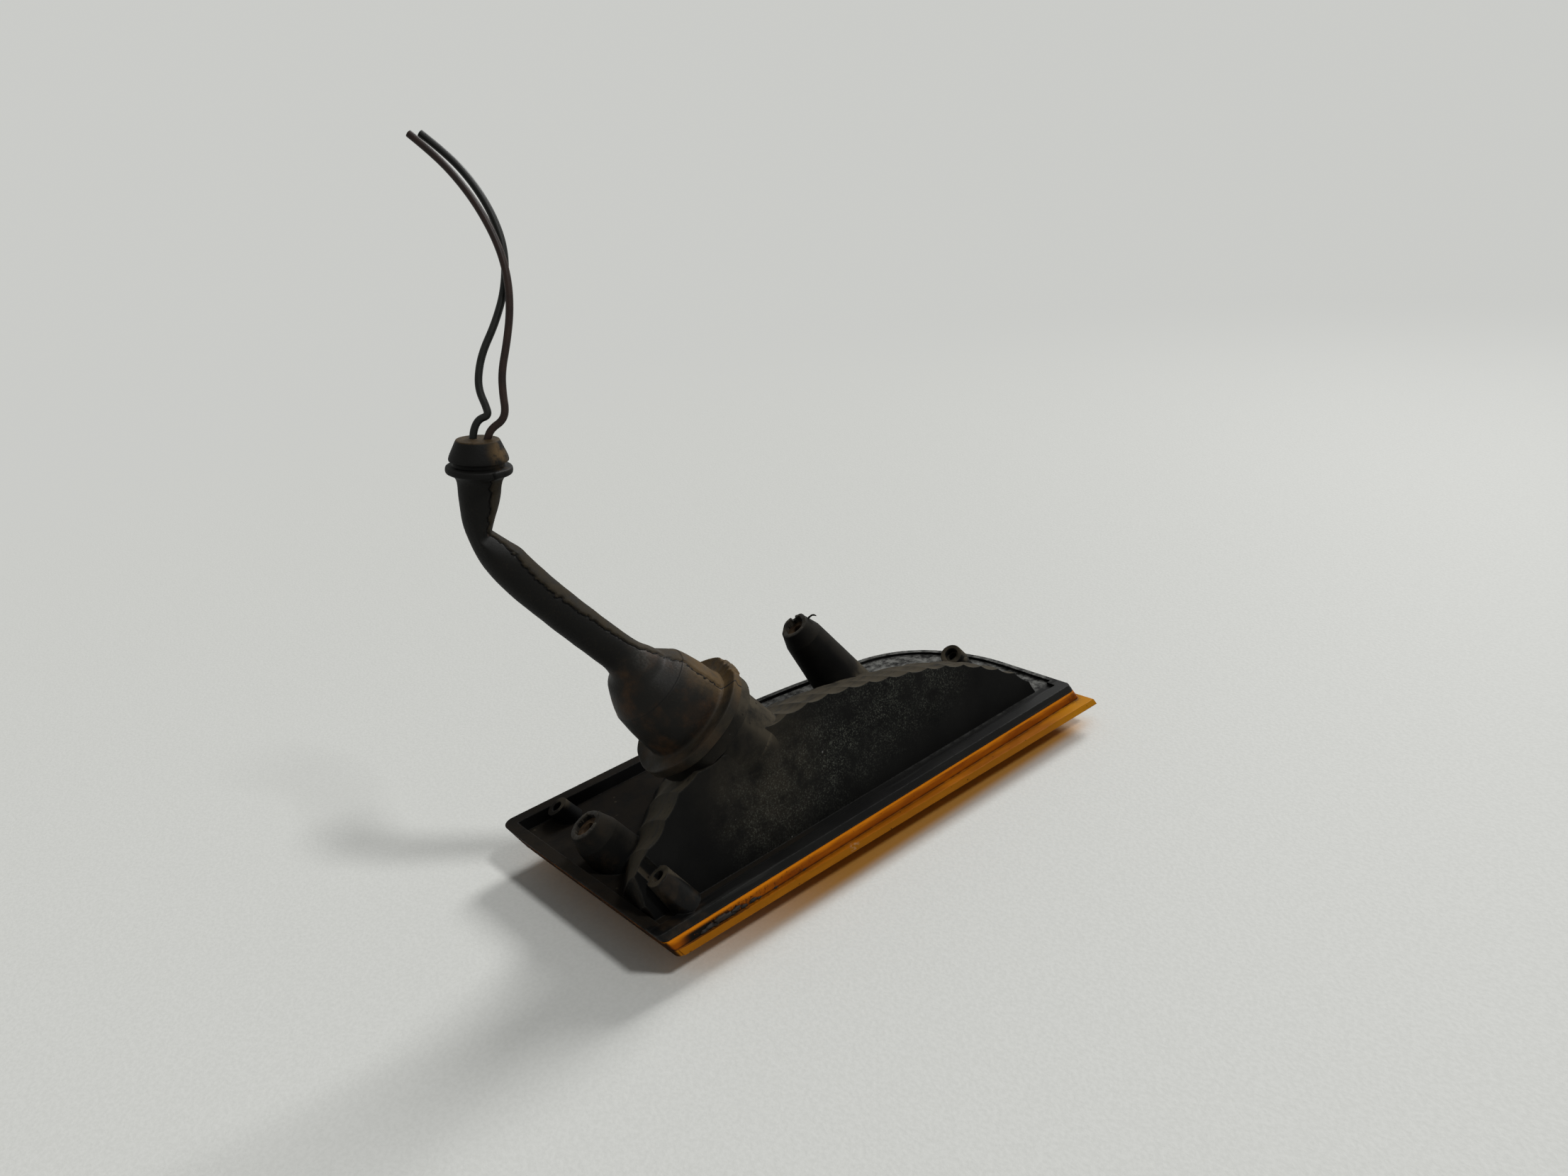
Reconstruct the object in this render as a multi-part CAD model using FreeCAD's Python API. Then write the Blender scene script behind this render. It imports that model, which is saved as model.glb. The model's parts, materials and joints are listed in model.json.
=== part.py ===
import FreeCAD
import Part
import math
import os

V = FreeCAD.Vector

# The lamp lies on its lens: +X along the straight long edge of the rim, +Y to the far edge,
# +Z to the back of the housing. Places are measured from the near left corner of the rim, at the
# joint between housing and lens. The origin of the finished part is the face of the left insert.
left_tower_mouth = V(9.5, 53, 14)

# Draw direction of the mouldings: walls, towers and bosses all lean this way
lean_left = 28
lean_far = 14
draw = V(-math.tan(math.radians(lean_left)), math.tan(math.radians(lean_far)), 1)
draw_axis = V(draw).normalize()

# Rim outline
rim_length = 203.5
rim_depth = 94.5
right_end_back = 49.5
slant_back = 13.5
slant_depth = 14
far_edge_back = 88.5
near_corner_radius = 2
right_end_radius = 60
slant_radius = 40
far_edge_radius = 300
far_corner_radius = 5

# Housing moulding
rim_height = 2.5
lip_width = 4.4
wall = 2
tray_floor = -1.8
ledge_floor = 1.3
tray_end = 105
near_strip = 9
near_step = 1.4
clearance = 0.3

# Reflector bowl: a flat near face under a fluted arch that falls to a foot curve
bowl_left = 3.4
bowl_end_gap = 11
bowl_height = 41.8
bowl_far_gap = 4.95
face_offset = 8.5
flute_count = 24
flute_bulge = 0.9
slope_power = 1.25
# Each row pairs a point of the arch (along, up) with one of the foot (along, back), as shares
arch_and_foot = [
    ((0.000, 0.000), (0.000, 0.05)),
    ((-0.010, 0.28), (0.006, 0.17)),
    ((-0.007, 0.47), (0.024, 0.31)),
    ((0.040, 0.60), (0.088, 0.49)),
    ((0.111, 0.84), (0.199, 0.72)),
    ((0.220, 0.94), (0.310, 0.91)),
    ((0.416, 1.00), (0.511, 1.00)),
    ((0.606, 0.88), (0.722, 0.95)),
    ((0.807, 0.65), (0.955, 0.71)),
    ((0.892, 0.47), (1.018, 0.49)),
    ((0.959, 0.28), (1.026, 0.25)),
    ((1.000, 0.000), (1.008, 0.02)),
]

# Fixing towers and screw bosses, each at the centre of its mouth
right_tower_mouth = V(rim_length - 76, rim_depth - 17.5, 35.5)
tower_mouth_radius = 6
tower_shoulder_radius = 8
tower_shoulder_drop = 6
tower_wall_flare = 0.11
left_tower_run = 19
right_tower_run = 40
tower_bore_radius = 4.3
tower_bore_depth = 17
insert_recess = 1.5
insert_gap = 0.1
insert_bore_radius = 2.1
boss_radius = 4
boss_hole_radius = 2
boss_foot_radius = 5
boss_hole_depth = 6
near_boss_mouth = V(7.9, 9.9, 14.9)
near_boss_run = 15
near_boss_notch_radius = 3.4
near_boss_notch_run = 12
far_boss_mouth = V(17, rim_depth - 8.1, 4)
far_boss_run = 8
right_boss_mouth = V(rim_length - 15.5, rim_depth - 44.9, 6.5)
right_boss_run = 8

# Bulb neck, on an axis that leans further left than the draw
neck_centre = V(45.4, 36.9, 44.3)
neck_lean_left = 36
neck_lean_far = 16
neck_radius = 18
neck_bore_radius = 15.5
neck_foot = -22
neck_root = -34
collar_radius = 20.5
collar_height = 5
neck_top = -2

# Rubber boot, with heights along the neck axis
boot_wall = 1.7
boot_flange_radius = 22
boot_flange_height = 3
boot_flange_round = 1.2
# Bell of the boot: its radius at each height, from the flange to its closed crown
bell_profile = [
    (16.2, 4.2),
    (16.0, 7.2),
    (15.1, 14.5),
    (13.8, 19.6),
    (12.1, 22.8),
    (8.9, 27.9),
    (6.2, 30.0),
    (2.5, 31.0),
]
crown_height = 31.3
crown_drop = 1
# The tube leaves the bell off its axis, on the side of the parting line
tube_root_height = 26
tube_root_offset = V(2.6, -2.3, -0.3)
tube_radius = 6
tube_bore_radius = 4
tube_run = 85.4
tube_bend_radius = 46
tube_rise = 26.9
tube_top_lean = V(0.12, -0.04, 0.995)
lip_radius = 9.5
groove_radius = 7.2
nose_radius = 8.4
nose_tip_radius = 6
nose_height = 8.4
head_foot = -6

# Bulb holder and bulb, with heights along the neck axis
holder_flange_radius = 18.3
holder_flange_top = 1
holder_foot = -14
holder_top = 9.5
holder_back_wall = 2
sleeve_radius = 8.3
sleeve_wall = 0.6
sleeve_foot = -19
sleeve_lip_radius = 11
cap_radius = 7.5
cap_length = 16
cap_foot = -17
pin_radius = 1
pin_reach = 8.4
pin_height = -12
glass_neck_radius = 7
glass_radius = 12.3
glass_length = 33
contact_radius = 2.2
contact_height = 1.8
leaf_width = 5
leaf_thickness = 0.5
leaf_half_length = 5
blade_width = 6.3
blade_thickness = 0.8
blade_offset = 3.5
blade_length = 7.5
receptacle_length = 10
receptacle_wall = 0.8
crimp_radius = 1.9
crimp_length = 4

# Lens moulding
lens_wall = 2.4
lens_wall_height = 4.3
lens_flange_height = 2.4
lens_flange_near_left = 0.4
lens_flange_near_right = 5.1
lens_flange_right = 1.8
lens_depth = 15.5
# Rows of the front: how far in from the outline, and the share of the depth reached there
front_steps = [(0, 0), (8, 0.53), (17, 0.86), (27, 1)]
seal_height = 0.6
seal_inset = 0.3

# Cut wires: from their crimps through the tube and the grommet to the open air, as points in the
# finished part's own frame
wire_radius = 1.1
wire_exit_offset = 2.1
feed_wire_route = [
    (18.2, -10.4, 49.1),
    (17.0, -10.0, 50.8),
    (18.7, -11.4, 54.2),
    (13.9, -9.9, 61.0),
    (8.8, -8.1, 69.5),
    (3.4, -4.9, 78.7),
    (-2.2, -0.9, 87.2),
    (-7.2, 2.5, 96.1),
    (-11.1, 4.4, 106.3),
    (-12.5, 4.3, 116.5),
    (-11.7, 3.7, 127.4),
    (-11.0, 3.5, 134.2),
    (-10.1, 4.0, 137.2),
    (-6.7, 2.8, 139.7),
    (-5.8, 3.9, 143.8),
    (-5.1, 5.8, 148.8),
    (-1.8, 7.1, 155.8),
    (4.9, 7.3, 163.8),
    (10.9, 8.5, 172.6),
    (14.5, 11.2, 182.4),
    (15.0, 15.5, 191.6),
    (13.7, 21.2, 200.8),
    (10.7, 27.4, 208.8),
    (6.9, 33.1, 215.6),
]
earth_wire_route = [
    (23.9, -9.9, 53.1),
    (22.7, -9.4, 54.8),
    (21.7, -10.7, 56.4),
    (16.5, -7.9, 62.4),
    (9.8, -4.6, 69.2),
    (2.1, -2.2, 76.8),
    (-5.2, -0.7, 85.2),
    (-9.9, 0.2, 95.5),
    (-11.3, 0.8, 106.5),
    (-10.5, 1.3, 116.3),
    (-8.8, 1.1, 126.9),
    (-7.9, 0.7, 133.7),
    (-6.8, 0.7, 136.8),
    (-2.5, -0.9, 140.0),
    (-1.2, 0.5, 144.8),
    (0.9, 1.9, 151.0),
    (4.9, 2.8, 159.0),
    (8.6, 4.5, 167.8),
    (10.9, 7.3, 177.0),
    (11.8, 11.5, 186.2),
    (11.1, 16.7, 195.2),
    (9.2, 22.5, 203.4),
    (6.3, 28.1, 210.4),
    (3.5, 33.2, 215.8),
]


def rim_corners(inset):
    right = rim_length
    far = rim_depth
    corners = [
        (0, 0, near_corner_radius),
        (right, 0, near_corner_radius),
        (right, far - right_end_back, right_end_radius),
        (right - slant_back, far - slant_depth, slant_radius),
        (right - far_edge_back, far, far_edge_radius),
        (0, far, far_corner_radius),
    ]
    moved = []
    for index, (x, y, radius) in enumerate(corners):
        before = corners[index - 1]
        after = corners[(index + 1) % len(corners)]
        into = V(x - before[0], y - before[1], 0).normalize()
        out = V(after[0] - x, after[1] - y, 0).normalize()
        left_in = V(-into.y, into.x, 0)
        left_out = V(-out.y, out.x, 0)
        shift = (left_in + left_out) * (inset / (1 + left_in.dot(left_out)))
        moved.append((V(x, y, 0) + shift, max(radius - inset, 0.5)))
    return moved


def rim_face(inset, height):
    corners = rim_corners(inset)
    edges = []
    starts = []
    for index, (point, radius) in enumerate(corners):
        before = corners[index - 1][0]
        after = corners[(index + 1) % len(corners)][0]
        into = (point - before).normalize()
        out = (after - point).normalize()
        half_turn = into.getAngle(out) / 2
        reach = radius * math.tan(half_turn)
        middle = point + (out - into).normalize() * (radius / math.cos(half_turn) - radius)
        start = point - into * reach
        end = point + out * reach
        edges.append(Part.Arc(start, middle, end).toShape())
        starts.append((start, end))
    for index, (start, end) in enumerate(starts):
        following = starts[(index + 1) % len(starts)][0]
        edges.append(Part.makeLine(end, following))
    face = Part.Face(Part.Wire(Part.__sortEdges__(edges)))
    return face.translated(draw * height)


def rim_prism(inset, bottom, top):
    return rim_face(inset, bottom).extrude(draw * (top - bottom))


def slab(x0, x1, y0, y1, z0, z1):
    return Part.makeBox(x1 - x0, y1 - y0, z1 - z0, V(x0, y0, z0))


def along(shape, centre, axis):
    placed = shape.copy()
    placed.Placement = FreeCAD.Placement(centre, FreeCAD.Rotation(V(0, 0, 1), axis))
    return placed


def turned(profile):
    points = [V(radius, 0, height) for radius, height in profile]
    wire = Part.makePolygon(points + [points[0]])
    return Part.Face(wire).revolve(V(0, 0, 0), V(0, 0, 1), 360)


def neck_axis():
    far = math.tan(math.radians(neck_lean_far))
    return V(-math.tan(math.radians(neck_lean_left)), far, 1).normalize()


def on_neck(shape):
    return along(shape, neck_centre, neck_axis())


def face_y(height):
    return face_offset + height * draw.y


def behind_face(inset):
    # All that lies further back than the flat near face
    high = bowl_height * 2
    far = rim_depth * 2
    section = [V(-rim_length, far, -high), V(-rim_length, far, high)]
    section += [V(-rim_length, face_y(height) + inset, height) for height in (high, -high)]
    return Part.Face(Part.makePolygon(section + [section[0]])).extrude(V(rim_length * 3, 0, 0))


def neck_column(radius, top, inset):
    # The neck's round from its top to its foot, then down through the bowl behind the flat face
    stem = on_neck(Part.makeCylinder(radius, top - neck_foot, V(0, 0, neck_foot)))
    root = on_neck(Part.makeCylinder(radius, neck_foot - neck_root, V(0, 0, neck_root)))
    return stem.fuse(root.common(behind_face(inset)))


def bowl_rows(inset):
    # Control points of the arch, a middle row and the foot; an inset draws the whole bowl inwards
    left = bowl_left + 1.5 * inset
    length = rim_length - bowl_end_gap - inset - left
    height = bowl_height - inset
    depth = rim_depth - bowl_far_gap - face_y(tray_floor) - 2 * inset
    rows = [[], [], []]
    for (arch_along, arch_up), (foot_along, foot_back) in arch_and_foot:
        arch_z = tray_floor + arch_up * height
        arch = V(left + arch_along * length, face_y(arch_z) + inset, arch_z)
        foot_y = face_y(tray_floor) + inset + foot_back * depth
        foot = V(left + foot_along * length, foot_y, tray_floor)
        half = (arch + foot) * 0.5
        half.z = arch.z + (foot.z - arch.z) * 0.5 ** slope_power
        rows[0].append(arch)
        rows[1].append(half)
        rows[2].append(foot)
    return rows


def chord_shares(points):
    lengths = [0]
    for start, end in zip(points, points[1:]):
        lengths.append(lengths[-1] + (end - start).Length)
    return [length / lengths[-1] for length in lengths]


def fluted_wire(points, shares, slopes, plane_normal):
    curve = Part.BSplineCurve()
    curve.interpolate(Points=points, Parameters=shares)
    slope = Part.BSplineCurve()
    slope.interpolate(Points=slopes, Parameters=shares)
    edges = []
    for flute in range(flute_count):
        start = flute / flute_count
        end = (flute + 1) / flute_count
        middle = (start + end) / 2
        outward = curve.tangent(middle)[0].cross(slope.value(middle))
        if plane_normal is not None:
            outward = outward - plane_normal * outward.dot(plane_normal)
        outward.normalize()
        crest = curve.value(middle) + outward * flute_bulge
        edges.append(Part.Arc(curve.value(start), crest, curve.value(end)).toShape())
    edges.append(Part.makeLine(curve.value(1), curve.value(0)))
    return Part.Wire(edges)


def bowl_wires(inset):
    arch, half, foot = bowl_rows(inset)
    shares = chord_shares(arch)
    slopes = [top - bottom for top, bottom in zip(arch, foot)]
    face_normal = V(0, -1, draw.y).normalize()
    return [
        fluted_wire(arch, shares, slopes, face_normal),
        fluted_wire(half, shares, slopes, None),
        fluted_wire(foot, shares, slopes, V(0, 0, 1)),
    ]


def bowl_solid(inset):
    return Part.makeLoft(bowl_wires(inset), True, False)


def bowl_opening(inset, bottom):
    # The way out of the bowl through the floor plate, from its flat face back to its foot
    arch, half, foot = bowl_wires(inset)
    ends = [edge for edge in foot.Edges][:-1]
    first = ends[0].valueAt(ends[0].FirstParameter)
    last = ends[-1].valueAt(ends[-1].LastParameter)
    near = face_y(tray_floor) + inset
    corners = [last, V(last.x, near, tray_floor), V(first.x, near, tray_floor), first]
    sides = [Part.makeLine(start, end) for start, end in zip(corners, corners[1:])]
    return Part.Face(Part.Wire(ends + sides)).extrude(V(0, 0, bottom - tray_floor))


def cone(centre, axis, radius, foot_radius, run):
    # A tower or boss that widens from its mouth down to its foot
    return along(Part.makeCone(foot_radius, radius, run), centre - axis * run, axis)


def tower(mouth, run):
    foot_radius = tower_shoulder_radius + (run - tower_shoulder_drop) * tower_wall_flare
    profile = [
        (0, 0),
        (tower_mouth_radius, 0),
        (tower_shoulder_radius, -tower_shoulder_drop),
        (foot_radius, -run),
        (0, -run),
    ]
    return along(turned(profile), mouth, draw_axis)


def bore(centre, axis, radius, depth):
    return along(Part.makeCylinder(radius, depth + 1), centre - axis * depth, axis)


def towers():
    return [(left_tower_mouth, left_tower_run), (right_tower_mouth, right_tower_run)]


def bosses():
    return [
        (near_boss_mouth, near_boss_run),
        (far_boss_mouth, far_boss_run),
        (right_boss_mouth, right_boss_run),
    ]


def housing():
    skirt_inset = lens_wall + clearance
    plate = tray_floor - wall
    body = rim_prism(0, 0, rim_height)
    body = body.fuse(rim_prism(skirt_inset, plate, 0))
    far = rim_depth * 2
    tray = rim_prism(lip_width, tray_floor, rim_height + 1)
    tray = tray.common(slab(-far, tray_end, near_strip, far, plate, rim_height + 1))
    ledge = rim_prism(lip_width / 2, ledge_floor, rim_height + 1)
    ledge = ledge.common(slab(tray_end, rim_length * 2, near_strip, far, plate, rim_height + 1))
    step = rim_prism(lip_width, near_step, rim_height + 1)
    step = step.common(slab(0, rim_length, 0, near_strip + 1, plate, rim_height + 1))
    body = body.cut(tray).cut(ledge).cut(step)
    under = rim_prism(skirt_inset + wall, plate - 1, ledge_floor - wall)
    under = under.common(slab(tray_end + wall, rim_length * 2, -far, far, plate - 1, rim_height))
    body = body.cut(under)
    body = body.fuse(bowl_solid(0))
    collar = Part.makeCylinder(collar_radius, collar_height, V(0, 0, neck_top - collar_height))
    body = body.fuse(neck_column(neck_radius, neck_top, 0)).fuse(on_neck(collar))
    for mouth, run in towers():
        body = body.fuse(tower(mouth, run))
    for mouth, run in bosses():
        body = body.fuse(cone(mouth, draw_axis, boss_radius, boss_foot_radius, run))
    hollow = bowl_solid(wall)
    body = body.cut(hollow).cut(bowl_opening(wall, plate - 1))
    body = body.cut(slab(-far, far * 3, -far, far * 2, plate - far, plate))
    body = body.cut(neck_column(neck_bore_radius, neck_top + 1, wall))
    for mouth, run in towers():
        body = body.cut(bore(mouth, draw_axis, tower_bore_radius, tower_bore_depth))
    for mouth, run in bosses():
        body = body.cut(bore(mouth, draw_axis, boss_hole_radius, boss_hole_depth))
    notch = Part.makeCylinder(near_boss_notch_radius, near_boss_notch_run)
    return body.cut(along(notch, near_boss_mouth, draw_axis))


def lens_front(inset):
    # The pillowed front, closed at its foot under the walls and drawn in by the inset
    foot = lens_wall_height + lens_flange_height
    wires = []
    for step_in, share in front_steps:
        depth = foot + share * (lens_depth - foot)
        wires.append(rim_face(step_in + inset, inset - depth).OuterWire)
    return Part.makeLoft(wires, True, False)


def lens():
    # Straight walls under the rim, a flange along the near and right edges, and a pillowed front
    foot = lens_wall_height + lens_flange_height
    right = rim_length + lens_flange_right
    corners = [
        V(near_corner_radius, -lens_flange_near_left, 0),
        V(right, -lens_flange_near_right, 0),
        V(rim_length, rim_depth - right_end_back, 0),
        V(rim_length / 2, rim_depth / 2, 0),
        V(near_corner_radius, lip_width, 0),
    ]
    flange = Part.Face(Part.makePolygon(corners + [corners[0]]))
    flange = flange.translated(draw * -foot).extrude(draw * lens_flange_height)
    body = rim_prism(0, -foot, -seal_height).fuse(lens_front(0)).fuse(flange)
    hollow = rim_prism(lens_wall, lens_wall - foot, 1).fuse(lens_front(lens_wall))
    return body.cut(hollow)


def lens_seal():
    bead = rim_prism(seal_inset, -seal_height, 0)
    return bead.cut(rim_prism(lens_wall, -seal_height - 1, 1))


def tube_root():
    return neck_centre + neck_axis() * tube_root_height + tube_root_offset


def tube_path():
    # Centre line of the boot's tube: up from the bell, round a bend, then on to the grommet
    start = tube_root()
    corner = neck_centre + neck_axis() * tube_run
    low = (corner - start).normalize()
    top = V(tube_top_lean).normalize()
    half_turn = low.getAngle(top) / 2
    reach = tube_bend_radius * math.tan(half_turn)
    into = corner - low * reach
    out = corner + top * reach
    sag = tube_bend_radius / math.cos(half_turn) - tube_bend_radius
    middle = corner + (top - low).normalize() * sag
    end = corner + top * tube_rise
    return [Part.makeLine(start, into), Part.Arc(into, middle, out).toShape(), Part.makeLine(out, end)]


def tube(radius):
    path = tube_path()
    start = path[0].Vertexes[0].Point
    ring = Part.Wire(Part.makeCircle(radius, start, path[0].tangentAt(path[0].FirstParameter)))
    return Part.Wire(path).makePipeShell([ring], True, False)


def grommet_centre():
    return neck_centre + neck_axis() * tube_run + V(tube_top_lean).normalize() * tube_rise


def boot_head():
    # Grommet at the tube's end: a lip, a groove for the panel and a tapered nose
    return [
        (0, head_foot),
        (tube_radius, head_foot),
        (tube_radius + 0.5, head_foot / 2),
        (tube_radius + 1.5, -2),
        (lip_radius, -1),
        (lip_radius, 0.6),
        (groove_radius, 1),
        (groove_radius, 1.9),
        (nose_radius, 2.1),
        (nose_radius, 3.2),
        (nose_tip_radius, nose_height),
        (0, nose_height),
    ]


def rubber_boot():
    shoulder = neck_top + boot_flange_height
    bell = [
        (0, neck_top),
        (boot_flange_radius, neck_top),
        (boot_flange_radius, shoulder),
        (boot_flange_radius - 1, shoulder + boot_flange_round),
    ]
    bell += bell_profile + [(0, crown_height)]
    seat_radius = holder_flange_radius + clearance
    seat_top = holder_flange_top + clearance
    inside = [(0, neck_top - 1), (seat_radius, neck_top - 1), (seat_radius, seat_top)]
    inside += [(bell_profile[0][0] - boot_wall, seat_top)]
    inside += [(radius - boot_wall, height) for radius, height in bell_profile[:6]]
    inside += [(bell_profile[6][0] - boot_wall, bell_profile[6][1] - crown_drop)]
    inside += [(0, crown_height - boot_wall)]
    top = V(tube_top_lean).normalize()
    boot = on_neck(turned(bell)).fuse(tube(tube_radius))
    boot = boot.fuse(along(turned(boot_head()), grommet_centre(), top))
    boot = boot.cut(on_neck(turned(inside))).cut(tube(tube_bore_radius))
    for exit_point in wire_exits():
        hole = bore(exit_point, top, wire_radius + clearance, nose_height)
        boot = boot.cut(hole)
    return boot


def wire_exits():
    top = V(tube_top_lean).normalize()
    side = top.cross(V(0.66, 0.74, 0)).normalize()
    tip = grommet_centre() + top * nose_height
    return [tip - side * wire_exit_offset, tip + side * wire_exit_offset]


def bulb_holder():
    bore_radius = sleeve_radius + clearance
    plug_radius = neck_bore_radius - clearance
    inside_top = holder_top - holder_back_wall
    profile = [
        (bore_radius, holder_foot),
        (plug_radius, holder_foot),
        (plug_radius, neck_top),
        (holder_flange_radius, neck_top),
        (holder_flange_radius, holder_flange_top),
        (bore_radius + wall, holder_flange_top),
        (bore_radius + wall, holder_top),
        (0, holder_top),
        (0, inside_top),
        (bore_radius, inside_top),
    ]
    body = turned(profile)
    low = inside_top - 1
    high = holder_top + 1
    strap_x = sleeve_radius - sleeve_wall / 2
    slot = slab_at(-blade_offset, blade_thickness, blade_width, low, high)
    strap = slab_at(strap_x, blade_thickness, leaf_width, low, high)
    return on_neck(body.cut(slot).cut(strap))


def slab_at(x, thickness, width, bottom, top):
    return slab(x - thickness / 2, x + thickness / 2, -width / 2, width / 2, bottom, top)


def bulb_sleeve():
    inside_top = holder_top - holder_back_wall
    inner = sleeve_radius - sleeve_wall
    profile = [
        (inner, sleeve_foot),
        (sleeve_radius, sleeve_foot),
        (sleeve_radius, holder_foot - sleeve_wall),
        (sleeve_lip_radius, holder_foot - sleeve_wall),
        (sleeve_lip_radius, holder_foot),
        (sleeve_radius, holder_foot),
        (sleeve_radius, inside_top),
        (inner, inside_top),
    ]
    body = turned(profile)
    slot_width = 2 * (pin_radius + clearance)
    top = pin_height + pin_radius + clearance
    reach = sleeve_radius + clearance
    slot = slab(-reach, reach, -slot_width / 2, slot_width / 2, sleeve_foot - 1, top)
    return on_neck(body.cut(slot))


def bulb_cap():
    cap_top = cap_foot + cap_length
    body = Part.makeCylinder(cap_radius, cap_length, V(0, 0, cap_foot))
    rim = [edge for edge in body.Edges if edge.BoundBox.ZMin > cap_top - 0.1]
    body = body.makeFillet(1.5, rim)
    pins = Part.makeCylinder(pin_radius, 2 * pin_reach, V(-pin_reach, 0, pin_height), V(1, 0, 0))
    return on_neck(body.fuse(pins))


def bulb_glass():
    tip = cap_foot - glass_length
    belly = tip + glass_radius
    neck = Part.makeCylinder(glass_neck_radius, cap_foot - belly, V(0, 0, belly))
    globe = Part.makeSphere(glass_radius, V(0, 0, belly))
    shoulder_top = cap_foot - 4
    shoulder = Part.makeCone(glass_radius, glass_neck_radius, shoulder_top - belly, V(0, 0, belly))
    return on_neck(globe.fuse(shoulder).fuse(neck))


def bulb_contact():
    body = Part.makeCylinder(contact_radius, contact_height, V(0, 0, cap_foot + cap_length))
    return on_neck(body)


def contact_leaf():
    # Bent spring strip from the holder's back wall to the bulb's contact
    back = holder_top - holder_back_wall
    touch = cap_foot + cap_length + contact_height
    half = leaf_half_length
    bend = (back + touch) / 2 + 1
    outer = [(-half, back), (half, back), (half + 1, bend), (1.5, touch), (-1.5, touch)]
    inner = [
        (-1.5, touch + leaf_thickness),
        (1.5, touch + leaf_thickness),
        (half + 1 - leaf_thickness, bend),
        (half - leaf_thickness, back - leaf_thickness),
        (-half, back - leaf_thickness),
    ]
    points = [V(x, -leaf_width / 2, z) for x, z in outer + inner]
    face = Part.Face(Part.makePolygon(points + [points[0]]))
    return on_neck(face.extrude(V(0, leaf_width, 0)))


def feed_blade():
    back = holder_top - holder_back_wall
    return on_neck(slab_at(-blade_offset, blade_thickness, blade_width, back, holder_top + blade_length))


def earth_blade():
    strap_x = sleeve_radius - sleeve_wall / 2
    back = holder_top - holder_back_wall
    blade = slab_at(blade_offset, blade_thickness, blade_width, holder_top, holder_top + blade_length)
    half = blade_thickness / 2
    foot_top = holder_top + blade_thickness
    foot = slab(blade_offset - half, strap_x + half, -leaf_width / 2, leaf_width / 2, holder_top, foot_top)
    leg = slab_at(strap_x, blade_thickness, leaf_width, back, holder_top + blade_thickness)
    return on_neck(blade.fuse(foot).fuse(leg))


def receptacle(side):
    x = side * blade_offset
    bottom = holder_top + blade_thickness + clearance
    top = bottom + receptacle_length
    slot_thickness = blade_thickness + clearance
    slot_width = blade_width + clearance
    walls = 2 * receptacle_wall
    box = slab_at(x, slot_thickness + walls, slot_width + walls, bottom, top)
    slot_top = holder_top + blade_length + clearance
    slot = slab_at(x, slot_thickness, slot_width, bottom - 1, slot_top)
    crimp = Part.makeCylinder(crimp_radius, crimp_length, V(x, 0, top))
    return on_neck(box.cut(slot).fuse(crimp))


def insert_face(mouth):
    return mouth - draw_axis * insert_recess


def fixing_insert(mouth):
    top = insert_face(mouth)
    run = tower_bore_depth - insert_recess
    body = along(Part.makeCylinder(tower_bore_radius - insert_gap, run), top - draw_axis * run, draw_axis)
    return body.cut(bore(top, draw_axis, insert_bore_radius, run - wall))


def wire(name, route):
    # Straight runs joined by tangent arcs, each as large as its two runs allow
    points = [V(*place) + insert_face(left_tower_mouth) for place in route]
    edges = []
    radii = []
    start = points[0]
    for before, corner, after in zip(points, points[1:], points[2:]):
        into = (corner - before).normalize()
        out = (after - corner).normalize()
        half_turn = into.getAngle(out) / 2
        reach = 0.45 * min((corner - before).Length, (after - corner).Length)
        radius = reach / math.tan(half_turn)
        middle = corner + (out - into).normalize() * (radius / math.cos(half_turn) - radius)
        edges.append(Part.LineSegment(start, corner - into * reach).toShape())
        edges.append(Part.Arc(corner - into * reach, middle, corner + out * reach).toShape())
        start = corner + out * reach
        radii.append(round(radius, 1))
    edges.append(Part.LineSegment(start, points[-1]).toShape())
    path = Part.Wire(edges)
    ring = Part.Wire(Part.makeCircle(wire_radius, points[0], points[1] - points[0]))
    solid = path.makePipeShell([ring], True, False)
    section = math.pi * wire_radius ** 2
    print(name, "length", round(path.Length, 1), "fill", round(solid.Volume / (section * path.Length), 4))
    print(name, "radii", radii)
    return solid


def export(name, shape):
    if len(shape.Solids) == 1:
        shape = shape.Solids[0]
    print(name, shape.isValid(), len(shape.Solids), round(shape.Volume), shape.BoundBox)
    shape.translated(insert_face(left_tower_mouth) * -1).exportStep("parts/" + name + ".step")


def main():
    os.makedirs("parts", exist_ok=True)
    export("housing", housing())
    export("lens", lens())
    export("lens_seal", lens_seal())
    export("rubber_boot", rubber_boot())
    export("bulb_holder", bulb_holder())
    export("bulb_sleeve", bulb_sleeve())
    export("bulb_cap", bulb_cap())
    export("bulb_glass", bulb_glass())
    export("bulb_contact", bulb_contact())
    export("contact_leaf", contact_leaf())
    export("feed_blade", feed_blade())
    export("earth_blade", earth_blade())
    export("feed_receptacle", receptacle(-1))
    export("earth_receptacle", receptacle(1))
    export("feed_wire", wire("feed_wire", feed_wire_route))
    export("earth_wire", wire("earth_wire", earth_wire_route))
    export("fixing_insert_left", fixing_insert(left_tower_mouth))
    export("fixing_insert_right", fixing_insert(right_tower_mouth))


main()
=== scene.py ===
import json
import math
import bpy
from mathutils import Matrix, Vector, noise

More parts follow.
